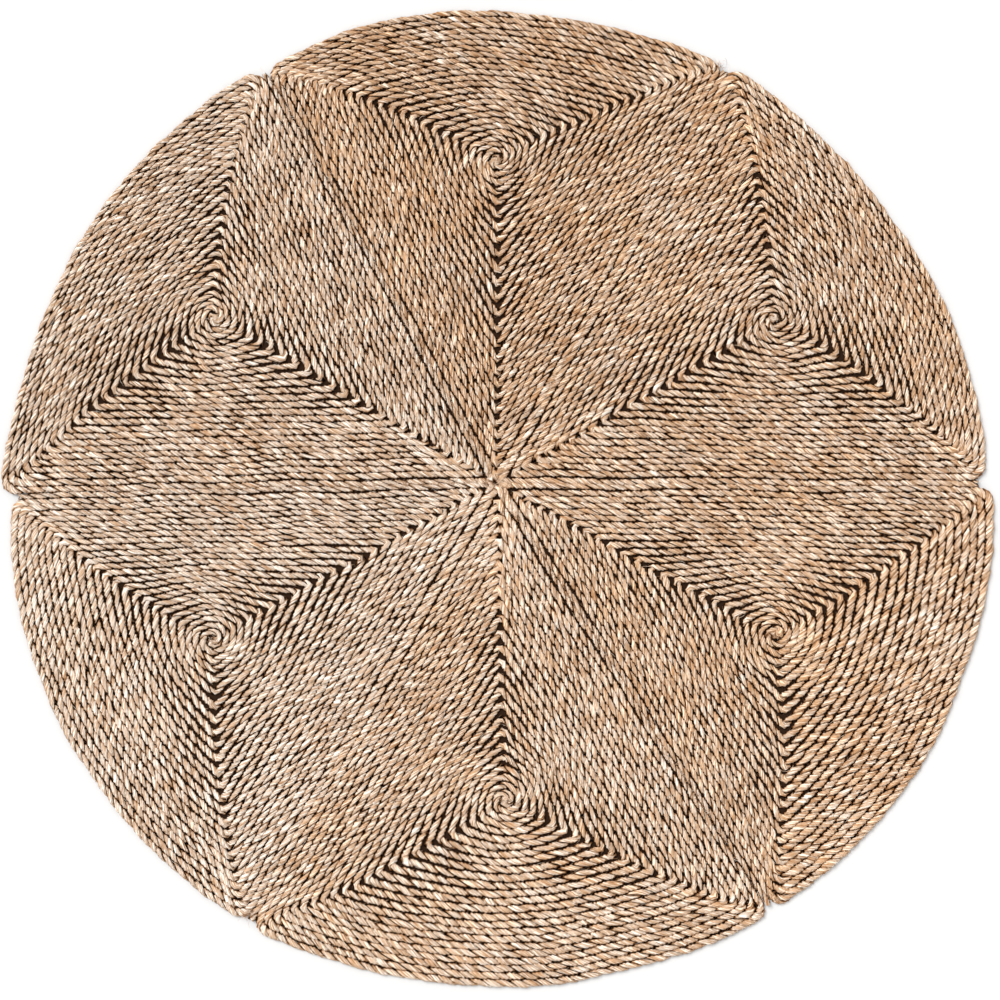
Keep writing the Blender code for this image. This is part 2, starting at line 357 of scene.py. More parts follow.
# %% [markdown]
# ## The path of the rope
#
# The middle line of a rope follows the crest of each turn. The first turns are circles round the
# eye, and each later turn has a little more of the wedge's corners, until it is a full wedge. At
# a corner the rope bends along a short curve, and more widely on the last turns, because the
# panels have rounded shoulders at the rim. On some turns the corner stays open, and on the others
# the maker has pressed the rope outwards until it nearly fills the corner. A curve object could
# hold the path, but a chain of edges can also carry values on its points: each point says by how
# much the rope is wider there than it is twisted, and whether it is the rug's edge.

# %% Runs and their corners
CORNERS_FROM = 4.5          # about here the turns stop being circles
CORNERS_SOFTLY = 2.5        # turns that the change takes
CORNER_REACH = 1.4          # then each corner gains this many pitches on the circle
SIDE_STEPS = 12             # steps along a side
TIP_PRESSED = 0.60          # the last hub corner is drawn in to this share of its distance
END_TUCK = 0.011            # the rope's last end stays this far inside the rim
SIDES = ("rim", "end", "start")                 # in the order in which the rope runs
FIRST_CORNER = {"rim": "start", "end": "end", "start": "hub"}


def squareness(turn):
    """0 where a turn is a circle, 1 where it is a full wedge."""
    def gained(at):
        return math.hypot(at - CORNERS_FROM, CORNERS_SOFTLY) + at
    return min(1.0, CORNER_REACH * (gained(turn) - gained(0)) / 2 / turn)


def sharp_corner(wedge, name, turn):
    level = wedge.level("rim", turn)
    if name == "start":
        side_level = wedge.level("start", turn - 1)
        return wedge.rim_point(wedge.rim_corner("start", side_level, level), level)
    if name == "end":
        side_level = wedge.level("end", turn)
        return wedge.rim_point(wedge.rim_corner("end", side_level, level), level)
    tip = wedge.hub_corner(wedge.level("end", turn), wedge.level("start", turn))
    return tip * TIP_PRESSED if turn > wedge.panel.turns - 1 else tip


def rounded(wedge, point, turn):
    """A point of a turn, drawn in towards the circle that the turn would be."""
    eye = polar(wedge.panel.eye_reach, math.radians(wedge.panel.eye))
    pitch = sum(wedge.pitch(side) for side in SIDES) / 3
    share = squareness(turn)
    arm = point - eye
    return eye + arm.normalized() * ((1 - share) * pitch * turn + share * arm.length)


def run(wedge, side, turn):
    """Points along a side of a turn, with both its corners."""
    if side == "rim":
        level = wedge.level("rim", turn)
        first = wedge.rim_corner("start", wedge.level("start", turn - 1), level)
        last = wedge.rim_corner("end", wedge.level("end", turn), level)
        points = [wedge.rim_point(first + (last - first) * k / SIDE_STEPS, level)
                  for k in range(SIDE_STEPS + 1)]
    else:
        begin = sharp_corner(wedge, FIRST_CORNER[side], turn)
        if side == "end":
            end = sharp_corner(wedge, "hub", turn)
        elif turn + 1 < wedge.panel.turns:
            end = sharp_corner(wedge, "start", turn + 1)
        else:
            last_level = wedge.level("start", turn)
            end = wedge.rim_point(wedge.rim_corner("start", last_level, 1.0), 1.0)
            end -= polar(END_TUCK, wedge.start)
        points = [begin.lerp(end, k / SIDE_STEPS) for k in range(SIDE_STEPS + 1)]
    sides_before = SIDES.index(side)
    return [rounded(wedge, point, turn + (sides_before + k / SIDE_STEPS) / 3)
            for k, point in enumerate(points)]


print("squareness:", ", ".join(f"{squareness(turn):.2f} on turn {turn}" for turn in (2, 5, 10)))

# %% Bends
OPEN_BEND = 0.008           # how far from an open corner the rope starts to bend
CLOSED_BEND = 0.005
RIM_BEND = 0.024            # on the last turn, at the rim: the panels have rounded shoulders
RIM_BEND_STEP = 0.004       # less on each turn before it
BEND_SHARE = 0.42           # the most of a side that one bend may take
BEND_STEPS = 6
BEND_ENDS = 0.4             # share of a corner's spread that is left where the bend ends
OPEN_SPREAD = 0.25          # how much wider the rope is in an open corner
CLOSED_SPREAD = {"start": 0.40, "end": 0.40, "hub": 0.70}
START_SPREAD = 0.45         # and at its first end, which frays in the eye
START_BEYOND = 1.2          # the first end lies past the eye, by this share of its first radius

PathPoint = namedtuple("PathPoint", "place spread rim")   # rim: 1 where it is the rug's edge


def reach_and_spread(panel, name, turn):
    """How far from its corner a bend starts, and how much the rope spreads in it."""
    first, last = getattr(panel, "open_" + name)
    if first - 0.5 <= turn <= last + 0.5:
        reach, spread = OPEN_BEND, OPEN_SPREAD
    else:
        reach, spread = CLOSED_BEND, CLOSED_SPREAD[name] * squareness(turn)
    if name != "hub":
        turns_from_rim = panel.turns - 0.5 - turn
        reach = max(reach, RIM_BEND - RIM_BEND_STEP * turns_from_rim)
    return reach, spread


def straight(places, spread, rim):
    return [PathPoint(place, spread, rim) for place in places]


def bend(before, corner, after, first, last, added):
    """Points along a soft curve that leaves one run and joins the next.

    first, last: the spread and the rim of the two runs. added: how much wider the corner is.
    """
    points = []
    for k in range(BEND_STEPS + 1):
        t = k / BEND_STEPS
        near = BEND_ENDS + (1 - BEND_ENDS) * 4 * t * (1 - t)
        place = (1 - t) ** 2 * before + 2 * t * (1 - t) * corner + t * t * after
        spread = (1 - t) * first[0] + t * last[0] + near * added
        points.append(PathPoint(place, spread, (1 - t) * first[1] + t * last[1]))
    return points


def towards(corner, points, reach):
    """The point of a run that lies a short reach from its corner."""
    nearest = next(p for p in points if (p - corner).length > reach)
    return corner + (nearest - corner).normalized() * reach


# %% The whole path of one rope
def rope_points(wedge):
    panel = wedge.panel
    eye = polar(panel.eye_reach, math.radians(panel.eye))
    first_place = run(wedge, "rim", 0.5)[0]
    points = straight([eye + (eye - first_place) * START_BEYOND, eye], START_SPREAD, 0.0)
    last_run = None
    last_reach = 0.0
    last_kind = None
    for turn in range(panel.turns):
        at_edge = turn == panel.turns - 1
        for side in SIDES:
            crest = turn + 0.5
            this_run = run(wedge, side, crest)
            corner = this_run[0]
            fullness = wedge.edge_full[side] if at_edge else FULLNESS
            spread = wedge.pitch(side) * fullness / ROPE_PITCH - 1
            kind = (spread, 1.0 if at_edge and side == "rim" else 0.0)
            reach, added = reach_and_spread(panel, FIRST_CORNER[side], crest)
            reach = min(reach, BEND_SHARE * (this_run[-1] - corner).length)
            if last_run:
                kept = [p for p in last_run[1:-1] if (p - corner).length > reach
                        and (p - last_run[0]).length > last_reach]
                points += straight(kept, *last_kind)
                points += bend(towards(corner, last_run[::-1], reach), corner,
                               towards(corner, this_run, reach), last_kind, kind, added)
            last_run = this_run
            last_reach = reach
            last_kind = kind
    points += straight(last_run[1:], *last_kind)
    return points


def path_object(wedge):
    """The rope's middle line as a chain of edges, with the spread and the rim on its points."""
    points = rope_points(wedge)
    mesh = bpy.data.meshes.new(wedge.panel.node + "_path")
    mesh.from_pydata([(*(p.place + hub), 0.0) for p in points],
                     [(k, k + 1) for k in range(len(points) - 1)], [])
    for name in ("spread", "rim"):
        attribute = mesh.attributes.new(name, "FLOAT", "POINT")
        attribute.data.foreach_set("value", [getattr(p, name) for p in points])
    path = bpy.data.objects.new(mesh.name, mesh)
    bpy.context.scene.collection.objects.link(path)
    return path


def path_length(path):
    places = [v.co for v in path.data.vertices]
    return sum((b - a).length for a, b in zip(places, places[1:]))


paths = {wedge.panel.node: path_object(wedge) for wedge in wedges}
rope_lengths = {node: path_length(path) for node, path in paths.items()}
print("rope in a panel:", ", ".join(f"{length:.1f} m" for length in rope_lengths.values()))

# %% [markdown]
# ## The strands
#
# Real rope of this kind is two strands laid round each other. Each strand is a bundle of fibre
# pressed into a D by its partner. A short straight rope could be modelled once and bent along the
# path, but then all its lobes would be alike. A tree makes each strand in its place instead. It
# resamples the path, moves each point out from the middle line by the strand's offset, in a
# direction that turns once in every lay, and sweeps a D along it. Noise makes the rope wander,
# the strands swell and the twist vary.

# %% The sizes of a strand
LAY = 0.0385                # length of one full turn of the twist
STRAND_OFFSET = 0.0029      # of a strand's middle from the rope's
STRAND_DEPTH = 0.0025       # half its size towards the rope's middle
STRAND_WIDTH = 0.0043       # and half its size across, before its outer side is rounded
STRAND_SIDES = 6
STRAND_STEP = 0.0049        # between two rings of the strand's mesh

strand_inputs = {
    "Material": ("Material", None),
    "Phase": ("Float", 0.0),
    "Seed": ("Float", 0.0),
    "Lay": ("Float", LAY),
    "Offset": ("Float", STRAND_OFFSET),
    "Depth": ("Float", STRAND_DEPTH),
    "Width": ("Float", STRAND_WIDTH),
    "Sides": ("Int", STRAND_SIDES),
    "Step": ("Float", STRAND_STEP),
    "Rope height": ("Float", ROPE_HEIGHT),
    "Drift": ("Float", 0.0048),
    "Wander": ("Float", 0.0017),
    "Swelling": ("Float", 0.50),
    "Ridges": ("Float", 0.30),
    "Loose twist": ("Float", 5.0),
    "Pale": ("Float", 0.0),
    "Ruddy": ("Float", 0.0),
}
print(f"{LAY / 2 * 1000:.1f} mm from lobe to lobe of the twist")

# %% The lie and the twist of the rope
# Each kind of unevenness is noise, which changes so many times in a metre.
DRIFT_CHANGES = 9.0
WANDER_CHANGES = 45.0
SLACK_CHANGES = 7.0
SLACK_LEVEL = 5.0           # where in the noise it is read, so that it isn't like the others
LINGER = 0.05               # the strands lie above each other a little longer than side by side


def twisted_curve(t):
    """The line that a strand follows, with its outward direction as the curve's normal."""
    given = t.given
    seed = given["Seed"]
    curve = t.add("GeometryNodeMeshToCurve", {0: given["Geometry"]}).outputs[0]
    curve = t.add("GeometryNodeResampleCurve", {"Curve": curve, "Length": given["Step"]},
                  mode="LENGTH").outputs[0]
    along = t.add("GeometryNodeSplineParameter").outputs["Length"]
    place = t.add("GeometryNodeInputPosition").outputs[0]
    tangent = t.add("GeometryNodeInputTangent").outputs[0]

    # The lie of the rope: a slow drift that neighbours share, and a small wander of its own.
    shared = t.vector("MULTIPLY", t.noise(place, DRIFT_CHANGES, Detail=1.0), (1, 1, 0))
    drift = t.scaled(shared, given["Drift"])
    own = t.noise(t.xyz(t.number("MULTIPLY", along, WANDER_CHANGES), seed), 1.0)
    wander = t.scaled(own, given["Wander"])
    middle = t.vector("ADD", place, t.vector("ADD", drift, wander))
    side = t.vector("CROSS_PRODUCT", tangent, (0, 0, 1))

    # The twist.
    slack = t.noise(t.xyz(t.number("MULTIPLY", along, SLACK_CHANGES), seed, SLACK_LEVEL), 1.0,
                    Detail=2.0)
    slack = t.parts(slack)[0]
    turns = t.number("DIVIDE", along, given["Lay"])
    angle = t.number("MULTIPLY", t.number("ADD", turns, given["Phase"]), -math.tau)
    angle = t.number("MULTIPLY_ADD", slack, given["Loose twist"], angle)
    lingering = t.number("SINE", t.number("MULTIPLY", angle, 2.0))
    angle = t.number("MULTIPLY_ADD", lingering, LINGER, angle)
    across = t.number("COSINE", angle)
    up = t.number("SINE", angle)
    radial = t.vector("ADD", t.scaled(side, across), t.xyz(z=up))

    curve = t.store(curve, "along", along)
    curve = t.store(curve, "middle", middle, "FLOAT_VECTOR")
    curve = t.store(curve, "radial", radial, "FLOAT_VECTOR")
    curve = t.store(curve, "side", side, "FLOAT_VECTOR")
    middle = t.stored("middle", "FLOAT_VECTOR")
    radial = t.stored("radial", "FLOAT_VECTOR")
    spot = t.vector("ADD", middle, t.scaled(radial, given["Offset"]))
    curve = t.add("GeometryNodeSetPosition", {"Geometry": curve, "Position": spot}).outputs[0]
    return t.add("GeometryNodeSetCurveNormal", {"Curve": curve, "Normal": radial},
                 mode="FREE").outputs[0]


# %% The section of a strand
STRAND_PRESS = 0.15         # how far its two edges are pressed towards the other strand
STRAND_CROWN = 0.07         # and how much narrower its outer side is


def strand_section(t):
    """A circle pressed into a D, to be swept along the strand."""
    given = t.given
    ring = t.add("GeometryNodeCurvePrimitiveCircle",
                 {"Resolution": given["Sides"], "Radius": 1.0}).outputs[0]
    around = t.add("GeometryNodeInputPosition").outputs[0]
    ring = t.store(ring, "around", around, "FLOAT_VECTOR")
    out, aside, _ = t.parts(around)
    pressed = t.number("MULTIPLY", t.number("SUBTRACT", 1.0, out), t.number("ABSOLUTE", aside))
    pressed = t.number("MULTIPLY_ADD", pressed, -STRAND_PRESS, out)
    crowned = t.number("MULTIPLY_ADD", out, -STRAND_CROWN, 1 - STRAND_CROWN)
    crowned = t.number("MULTIPLY", aside, crowned)
    section = t.vector("MULTIPLY", t.xyz(pressed, crowned), t.xyz(given["Depth"], given["Width"]))
    return t.add("GeometryNodeSetPosition", {"Geometry": ring, "Position": section}).outputs[0]


# %% The rope pressed flat
RIDGE_CHANGES = 30.0        # ridges of fibre along a metre of strand
RIDGES_AROUND = 3.0         # and how quickly they change round it
SPREAD_FLATTENS = 0.25      # how much of a spread the rope loses in height


def pressed_flat(t, mesh, own_seed):
    """The strand spread in the rope's corners, pressed to the rope's height and on the floor."""
    given = t.given
    vertex = t.add("GeometryNodeInputPosition").outputs[0]
    middle = t.stored("middle", "FLOAT_VECTOR")
    spread = t.stored("spread")
    around = t.scaled(t.stored("around", "FLOAT_VECTOR"), RIDGES_AROUND)
    along = t.number("MULTIPLY_ADD", t.stored("along"), RIDGE_CHANGES, own_seed)
    ridge = t.parts(t.noise(t.vector("ADD", around, t.xyz(z=along)), 1.0))[0]
    spot = t.vector("ADD", middle, t.scaled(t.stored("radial", "FLOAT_VECTOR"), given["Offset"]))
    bulge = t.scaled(t.vector("SUBTRACT", vertex, spot), t.number("MULTIPLY", ridge, given["Ridges"]))
    arm = t.vector("ADD", t.vector("SUBTRACT", vertex, middle), bulge)
    wider = t.number("ADD", spread, 1.0)
    natural = t.number("ADD", given["Offset"], given["Depth"])
    flatter = t.number("DIVIDE", t.number("MULTIPLY", given["Rope height"], 0.5), natural)
    flatter = t.number("SUBTRACT", flatter, t.number("MULTIPLY", spread, SPREAD_FLATTENS))
    arm = t.vector("MULTIPLY", arm, t.xyz(wider, wider, flatter))
    lifted = t.vector("ADD", t.vector("ADD", middle, arm),
                      t.xyz(z=t.number("MULTIPLY", given["Rope height"], 0.5)))
    x, y, z = t.parts(lifted)
    lifted = t.xyz(x, y, t.number("MAXIMUM", z, 0.0))
    return t.add("GeometryNodeSetPosition", {"Geometry": mesh, "Position": lifted}).outputs[0]


# %% What the finish reads
LOBE_CHANGES = (60.0, 60.0, 45.0)   # of colour, in a metre across a strand and along it
LOBE_TONE = 0.85            # how much the colour varies from lobe to lobe
PATCH_CHANGES = 7.0
PATCH_TONE = 0.30           # and from place to place on the rug


def with_tones(t, mesh, own_seed):
    """The strand with the tone and the coordinates of its fibre, the values that place the painted
    shade, and without spare values.
    """
    given = t.given
    around = t.stored("around", "FLOAT_VECTOR")
    around_parts = t.parts(around)
    fibre = t.xyz(t.number("MULTIPLY", around_parts[0], given["Width"]),
                  t.number("MULTIPLY", around_parts[1], given["Width"]),
                  t.number("ADD", t.stored("along"), own_seed))
    lobe = t.noise(t.vector("MULTIPLY", fibre, LOBE_CHANGES), 1.0, Detail=1.0)
    patch = t.noise(t.add("GeometryNodeInputPosition").outputs[0], PATCH_CHANGES, Detail=1.0)
    tone = t.vector("ADD", t.scaled(lobe, LOBE_TONE), t.scaled(patch, PATCH_TONE))
    tone = t.vector("ADD", tone, t.xyz(given["Pale"], given["Ruddy"]))
    tone = t.parts(tone)
    # How far out a vertex lies on the rug's edge rope: there the finish leaves out its painted shade.
    arm = t.vector("SUBTRACT", t.add("GeometryNodeInputPosition").outputs[0],
                   t.stored("middle", "FLOAT_VECTOR"))
    out = t.vector("DOT_PRODUCT", arm, t.stored("side", "FLOAT_VECTOR"))
    free = t.number("MULTIPLY", t.number("DIVIDE", out, given["Width"]), t.stored("rim"))
    mesh = t.store(mesh, "tone", t.xyz(tone[0], tone[1], free), "FLOAT_VECTOR")
    mesh = t.store(mesh, "fibre", fibre, "FLOAT_VECTOR")
    # outward tells the finish where to paint shade in the crease between the strands.
    mesh = t.store(mesh, "outward", around_parts[0])
    for spare in ("along", "middle", "radial", "around", "side", "spread", "rim"):
        mesh = t.add("GeometryNodeRemoveAttribute", {"Geometry": mesh, "Name": spare}).outputs[0]
    return mesh


# %% The strand tree
SWELL_CHANGES = 38.0
SWELL_LEVEL = 9.0           # where in the noise it is read
PHASE_TO_SEED = 50.0        # keeps the noise of the two strands of a rope apart


def make_strand_tree():
    t = GeometryTree("rope strand", strand_inputs)
    curve = twisted_curve(t)
    section = strand_section(t)
    own_seed = t.number("ADD", t.given["Seed"], t.number("MULTIPLY", t.given["Phase"], PHASE_TO_SEED))
    along = t.number("MULTIPLY", t.stored("along"), SWELL_CHANGES)
    swell = t.parts(t.noise(t.xyz(along, own_seed, SWELL_LEVEL), 1.0))[0]
    scale = t.number("MULTIPLY_ADD", swell, t.given["Swelling"], 1.0)
    mesh = t.add("GeometryNodeCurveToMesh", {"Curve": curve, "Profile Curve": section,
                                             "Scale": scale, "Fill Caps": True}).outputs[0]
    mesh = pressed_flat(t, mesh, own_seed)
    mesh = with_tones(t, mesh, own_seed)
    mesh = t.add("GeometryNodeSetShadeSmooth", {"Geometry": mesh}).outputs[0]
    t.finish(mesh)
    return t


strand_tree = make_strand_tree()
print(len(strand_tree.tree.nodes), "nodes in the strand tree")

# %% [markdown]
# ## The finish of the strands
#
# Each strand is a bundle of narrow blades that run along it. A picture of jute could be laid over
# the rug, but its streaks wouldn't follow the twist, and it would repeat. So the finish is noise
# that reads the strand's own coordinates: stretched along the strand, it gives the blades their
# colours and their ridges. The side that faces the other strand and what lies deep between two
# turns are darkened with painted shade, except on the outer side of the rug's edge.

# %% The blades of fibre
BLADE_CHANGES = (560.0, 560.0, 42.0)    # of tone, in a metre across a strand and along it
BLADE_DETAIL = 2.5
BLADE_ROUGHNESS = 0.65
LINE_WIDTH = 0.045          # of the thin lines between blades, as a range of the noise


def blades_and_lines(n, fibre):
    """The tone of each blade, about 0.5, and a value that is 0 on the line beside it, else 1."""
    places = n.vector("MULTIPLY", fibre, BLADE_CHANGES)
    blade = n.add("ShaderNodeTexNoise", {"Vector": places, "Scale": 1.0, "Detail": BLADE_DETAIL,
                                         "Roughness": BLADE_ROUGHNESS}).outputs["Fac"]
    line = n.number("ABSOLUTE", n.number("SUBTRACT", blade, 0.5))
    line = n.add("ShaderNodeMapRange", {"Value": line, "From Max": LINE_WIDTH}).outputs[0]
    return blade, line


# %% How pale the fibre is, and where shade is painted on it
PLAIN_TONE = 0.58           # paleness of a blade of middling tone, on a line
BLADE_CONTRAST = 2.5
LOBE_SHARE = 0.30           # of a lobe's own tone in the paleness
LINE_TONE = 0.14            # how much paler a blade is beside its line
CREASE_FROM = -0.8          # painted shade of the crease: from here, on the strand's inner side, to CREASE_TO it fades
CREASE_TO = -0.2
CREASE_TONE = 0.25          # share of the paleness that the painted shade leaves in the crease
PAINTED_SHADE_WITHIN = 0.06          # this far from the rope's middle height all is painted shade, and at this far it is gone, as shares of the rope's height
PAINTED_SHADE_GONE = 0.25            # this far it is gone, as shares of the rope's height


def make_paleness(n, blade, line, lobe_tone, free):
    """Paleness by blade and lobe, with painted shade: less in the crease between the strands and
    least half-way down between two turns. The rug's edge is free of this shade on its outer side."""
    tone = n.number("MULTIPLY_ADD", n.number("SUBTRACT", blade, 0.5), BLADE_CONTRAST, PLAIN_TONE)
    tone = n.number("MULTIPLY_ADD", lobe_tone, LOBE_SHARE, tone)
    tone = n.number("MULTIPLY_ADD", line, LINE_TONE, tone)
    # Painted shade in the crease, where the strand faces the other strand.
    outward = n.add("ShaderNodeAttribute", attribute_name="outward").outputs["Fac"]
    inner = n.add("ShaderNodeMapRange", {"Value": outward, "From Min": CREASE_FROM,
                                         "From Max": CREASE_TO, "To Min": CREASE_TONE}).outputs[0]
    # Painted shade half-way down the rope, where it lies between two turns.
    place = n.add("ShaderNodeTexCoord").outputs["Object"]
    height = n.number("DIVIDE", n.parts(place)[2], ROPE_HEIGHT)
    off_middle = n.number("ABSOLUTE", n.number("SUBTRACT", height, 0.5))
    depth = n.add("ShaderNodeMapRange", {"Value": off_middle, "From Min": PAINTED_SHADE_WITHIN,
                                         "From Max": PAINTED_SHADE_GONE}).outputs[0]
    # The outer side of the rug's edge is left without this painted shade.
    depth = n.number("MAXIMUM", depth, n.number("MINIMUM", free, 1.0))
    return n.number("MULTIPLY", tone, n.number("MULTIPLY", inner, depth))


# %% The jute finish
# From painted shade to cream, by paleness: the darker the fibre or its painted shade, the redder its
# brown.
FIBRE_AND_SHADE_COLOURS = [
    (0.00, (0.0012, 0.0004, 0.0002)),
    (0.06, (0.035, 0.010, 0.003)),
    (0.18, (0.15, 0.062, 0.022)),
    (0.36, (0.37, 0.208, 0.106)),
    (0.60, (0.63, 0.442, 0.305)),
    (0.95, (0.91, 0.83, 0.74)),
]
WARM_FROM = -0.1            # how ruddy a lobe is when its warm tint starts
WARM_TO = 0.6               # and when the tint is full
WARM_MOST = 0.8
WARM_TINT = (1.0, 0.80, 0.58, 1.0)
LINE_RELIEF = 0.35          # how deep the lines lie, beside the relief of the blades


def make_jute():
    jute = bpy.data.materials.new("jute_rope")
    jute.use_nodes = True
    n = Nodes(jute.node_tree)
    shader = jute.node_tree.nodes["Principled BSDF"]
    fibre = n.add("ShaderNodeAttribute", attribute_name="fibre").outputs["Vector"]
    tones = n.add("ShaderNodeAttribute", attribute_name="tone").outputs["Vector"]
    lobe_tone, ruddy, free = n.parts(tones)
    blade, line = blades_and_lines(n, fibre)
    ramp = n.add("ShaderNodeValToRGB", {"Fac": make_paleness(n, blade, line, lobe_tone, free)})
    stops = ramp.color_ramp.elements
    while len(stops) < len(FIBRE_AND_SHADE_COLOURS):
        stops.new(0.5)
    for stop, (paleness, colour) in zip(stops, FIBRE_AND_SHADE_COLOURS):
        stop.position = paleness
        stop.color = (*colour, 1.0)
    warm = n.add("ShaderNodeMapRange", {"Value": ruddy, "From Min": WARM_FROM,
                                        "From Max": WARM_TO, "To Max": WARM_MOST}).outputs[0]
    warmed = n.add("ShaderNodeMix", {"Factor": warm, "A": ramp.outputs["Color"], "B": WARM_TINT},
                   data_type="RGBA", blend_type="MULTIPLY")
    jute.node_tree.links.new(warmed.outputs[2], shader.inputs["Base Color"])

    relief = n.number("MULTIPLY_ADD", line, LINE_RELIEF, blade)
    bump = n.add("ShaderNodeBump", {"Height": relief, "Distance": 0.0014, "Strength": 0.9})
    jute.node_tree.links.new(bump.outputs[0], shader.inputs["Normal"])
    shader.inputs["Roughness"].default_value = 0.72
    shader.inputs["Specular IOR Level"].default_value = 0.04
    return jute


jute = make_jute()
print(len(jute.node_tree.nodes), "nodes in the jute finish")

# %% [markdown]
# ## The sewing between the turns, and painted shade in the gaps
#
# Each turn is sewn to the next with thread, and the gaps between the ropes lie deep in shade. The
# stitches could be made one by one, but only a dark ground shows between the ropes. So one thin
# dark layer in each panel stands in for the thread and is painted shade for the gaps. It lies
# inside the ropes, and its edge stays under the last turn.

# %% The sewing thread, and the painted shade in the gaps
THREAD_AND_SHADE_LEVEL = 0.0018       # height of the layer's underside
THREAD_AND_SHADE_THICKNESS = 0.0004
THREAD_AND_SHADE_INSET = 0.005        # from the rim
CORNER_INSET = 0.024        # and at a panel's two corners, which are rounded
ROUNDED_SHARE = 0.03        # of the rim, next to each of those corners
RIM_STEPS = 12
RIM_SHARES = [0.0, ROUNDED_SHARE, *(k / RIM_STEPS for k in range(1, RIM_STEPS)),
              1 - ROUNDED_SHARE, 1.0]
# Dark brown, partly the thread's own colour and partly painted shade for the gaps.
THREAD_AND_SHADE_COLOUR = (0.026, 0.013, 0.007, 1.0)

thread_and_shade_finish = bpy.data.materials.new("sewing_thread")
thread_and_shade_finish.use_nodes = True
thread_and_shade_shader = thread_and_shade_finish.node_tree.nodes["Principled BSDF"]
thread_and_shade_shader.inputs["Base Color"].default_value = THREAD_AND_SHADE_COLOUR
thread_and_shade_shader.inputs["Roughness"].default_value = 0.9
thread_and_shade_shader.inputs["Specular IOR Level"].default_value = 0.04


def thread_and_shade_layer(wedge):
    """A thin closed wedge of thread and painted shade, from the hub to just inside the rim."""
    outline = [hub]
    for share in RIM_SHARES:
        angle = wedge.start + share * (wedge.end - wedge.start)
        inset = CORNER_INSET if share in (0.0, 1.0) else THREAD_AND_SHADE_INSET
        outline.append(hub + polar(wedge.rim_radius(angle, 1.0) - inset, angle))
    count = len(outline)
    corners = [(*place, THREAD_AND_SHADE_LEVEL) for place in outline]
    corners += [(*place, THREAD_AND_SHADE_LEVEL + THREAD_AND_SHADE_THICKNESS) for place in outline]
    faces = [(0, k + 1, k) for k in range(1, count - 1)]
    faces += [(count, count + k, count + k + 1) for k in range(1, count - 1)]
    faces += [(k, (k + 1) % count, (k + 1) % count + count, k + count) for k in range(count)]
    mesh = bpy.data.meshes.new(wedge.panel.node + "_thread")
    mesh.from_pydata(corners, [], faces)
    mesh.materials.append(thread_and_shade_finish)
    layer = bpy.data.objects.new(mesh.name, mesh)
    bpy.context.scene.collection.objects.link(layer)
    return layer


thread_and_shade_layers = {wedge.panel.node: thread_and_shade_layer(wedge) for wedge in wedges}
print(len(thread_and_shade_layers), "layers of thread,", len(RIM_SHARES), "points along each rim")

# %% [markdown]
# ## Two strands in each panel
#
# The two strands of a rope could have a tree each. But they are alike, so they are the same tree
# on the same path, half a turn of the twist apart. A panel is a sheet made of rope: its flat size
# is the wedge's own, because nothing is cut.

# %% Make the strands
AREA_STEPS = 60             # narrow triangles that a wedge's area is summed from
SEEDS_APART = 10.0          # from one panel's noise to the next
STRAND_PHASES = {"a": 0.0, "b": 0.5}            # in turns of the twist


def flat_area(wedge):
    """The area of a wedge, from the hub to the rim."""
    step = (wedge.end - wedge.start) / AREA_STEPS
    reaches = [wedge.rim_radius(wedge.start + (k + 0.5) * step, 1.0) for k in range(AREA_STEPS)]
    return sum(reach ** 2 * step / 2 for reach in reaches)


random.seed(5)
for wedge in wedges:
    node = wedge.panel.node
    start_of_twist = random.random()
    pieces = []
    for letter, phase in STRAND_PHASES.items():
        values = {"Material": jute, "Phase": phase + start_of_twist,
                  "Seed": SEEDS_APART * wedges.index(wedge),
                  "Pale": wedge.panel.pale / LOBE_SHARE, "Ruddy": wedge.panel.ruddy}
        pieces.append(strand_tree.made_mesh(f"{node}_strand_{letter}", paths[node], values))
    pieces.append(thread_and_shade_layers[node])
    for piece in pieces:
        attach(piece, "root")
        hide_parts(node)
    area = flat_area(wedge)

# %% [markdown]
# ## Stray fibres
#
# Rope of plant fibre is never clean. Pale hairs stand out of the twist all over the rug, brown
# ones stick out of the seams where the thread was pulled tight, and each rope ends in a small
# tuft. A hair system could grow them, but its hairs stand on their roots and aren't meshes. So one
# tree scatters them: it sets points along a line, puts a short arched curve on each, turned by
# chance, and gives the curves a thin tapered body whose ends dip into the rope.

# %% The sizes of a fibre
FIBRE_PARTS = 3             # segments in a fibre
FIBRE_SIDES = 3
FIBRE_TAPER = 0.75          # of its thickness is gone at the two ends
FIBRE_LENGTHS = (0.5, 1.5)  # the least and the most, as shares of the usual length
FIBRE_BENDS = (-0.4, 0.4)   # as shares of its length
FIBRE_RUDDY = (-0.3, 0.6)
FIBRE_STREAKS = 0.1         # how quickly the tone changes along it, where on a strand it is 1

fibre_inputs = {
    "Material": ("Material", None),
    "Seed": ("Int", 0),
    "Spacing": ("Float", 0.05),
    "Scatter": ("Float", 0.005),
    "Height": ("Float", 0.0090),
    "Length": ("Float", 0.015),
    "Arch": ("Float", 0.0018),
    "Turn": ("Float", 0.5),
    "Thickness": ("Float", 0.00028),
    "Darkest": ("Float", -0.6),
    "Palest": ("Float", 1.2),
}
print(f"a fibre is {FIBRE_PARTS * FIBRE_SIDES} small faces and two ends")


